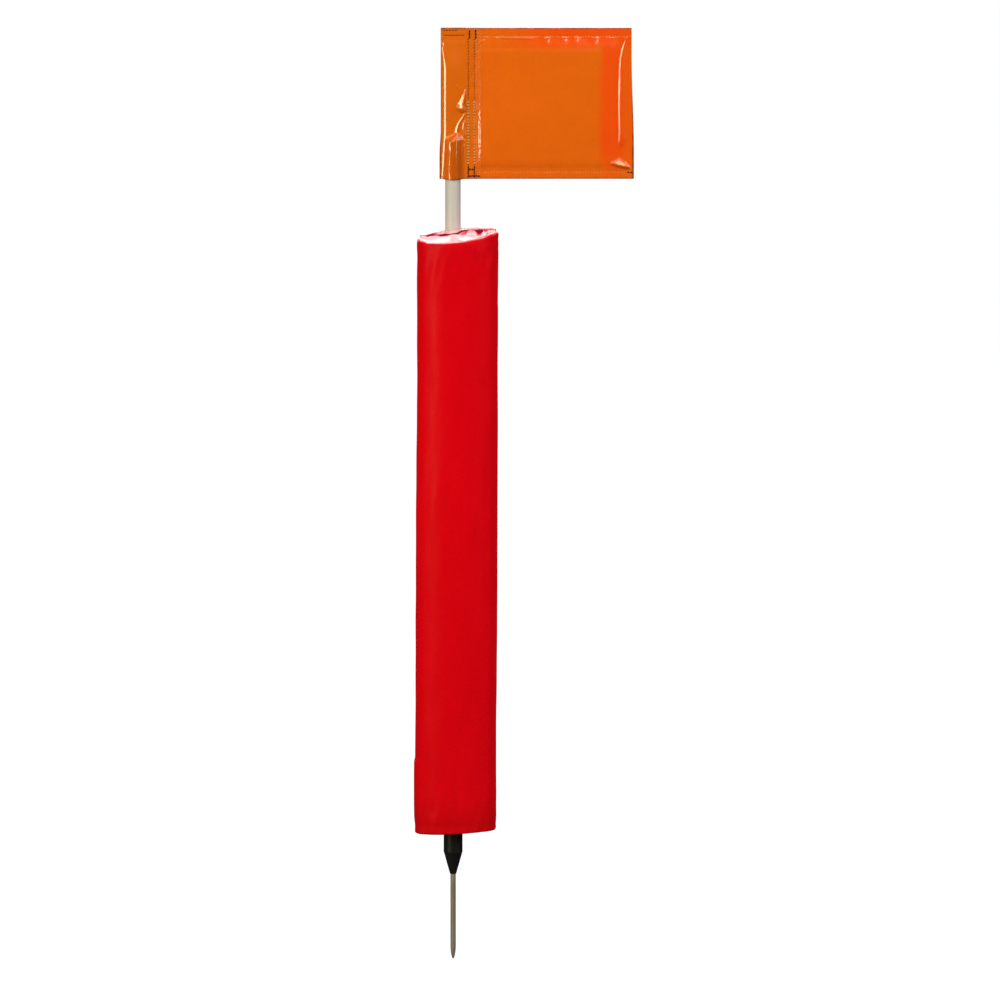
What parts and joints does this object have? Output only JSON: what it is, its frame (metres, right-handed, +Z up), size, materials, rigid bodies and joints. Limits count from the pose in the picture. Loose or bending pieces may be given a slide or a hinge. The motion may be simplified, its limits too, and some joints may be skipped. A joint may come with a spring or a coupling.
{
  "type": "driveway snow marker",
  "caption": "Driveway snow marker: tubular pole on a ferruled steel ground spike, with an oval foam pad in a glossy vinyl cover and a stiffened vinyl flag in a sewn pole sleeve.",
  "frame": {"origin": "on the pole's axis where the spike leaves the ferrule, which is the ground line; the spike reaches 0.112 m below it", "axes": "+Z up along the pole, +X the way the flag flies at rest, -Y towards the viewer of the marker's face"},
  "size_m": [0.2802, 0.0608, 1.219],
  "materials": {
    "spike_steel": "dull drawn steel, slightly tarnished",
    "black_plastic": "satin moulded",
    "plug_plastic": "matt moulded",
    "screw_steel": "zinc plated",
    "pole_plastic": "satin extruded PVC, off-white",
    "ring_rubber": "matt",
    "foam": "open-cell foam",
    "cover_vinyl": "glossy vinyl, red",
    "eyelet_metal": "nickel plated",
    "flag_vinyl": "glossy vinyl, safety orange",
    "stiffener_plastic": "plain board",
    "sleeve_vinyl": "glossy vinyl, safety orange",
    "thread": "twisted thread"
  },
  "bodies": {
    "stake": {"ground_spike": "spike_steel", "ferrule": "black_plastic", "pole_foot_plug": "plug_plastic", "pole_screw": "screw_steel", "pole_tube": "pole_plastic"},
    "stop_ring": {"stop_ring": "ring_rubber"},
    "pad": {"pad_foam": "foam", "pad_cover": "cover_vinyl", "pad_cover_back_tape": "cover_vinyl", "pad_top_front_flap": "cover_vinyl", "pad_top_back_flap": "cover_vinyl", "pad_bottom_panel": "cover_vinyl", "pad_bottom_eyelet": "eyelet_metal"},
    "cap": {"pole_cap": "black_plastic"},
    "flag": {"flag_sheet": "flag_vinyl", "flag_stiffener": "stiffener_plastic", "flag_pole_sleeve": "sleeve_vinyl", "pocket_stitch_rows": "thread", "pocket_bar_tacks": "thread", "hem_stitch_rows": "thread", "sleeve_top_stitch_rows": "thread"}
  },
  "joints": [
    {"name": "ring_slide", "type": "slide", "parent": "stake", "child": "stop_ring", "axis": [0, 0, 1], "range_m": [0, 0.055]},
    {"name": "pad_spin", "type": "hinge", "parent": "stop_ring", "child": "pad", "pos_m": [0, 0, 0.06], "axis": [0, 0, 1], "continuous": true},
    {"name": "flag_swivel", "type": "hinge", "parent": "stake", "child": "cap", "pos_m": [0, 0, 0.953], "axis": [0, 0, 1], "continuous": true},
    {"name": "flag_lift", "type": "slide", "parent": "cap", "child": "flag", "axis": [0, 0, 1], "range_m": [0, 0.2]}
  ]
}
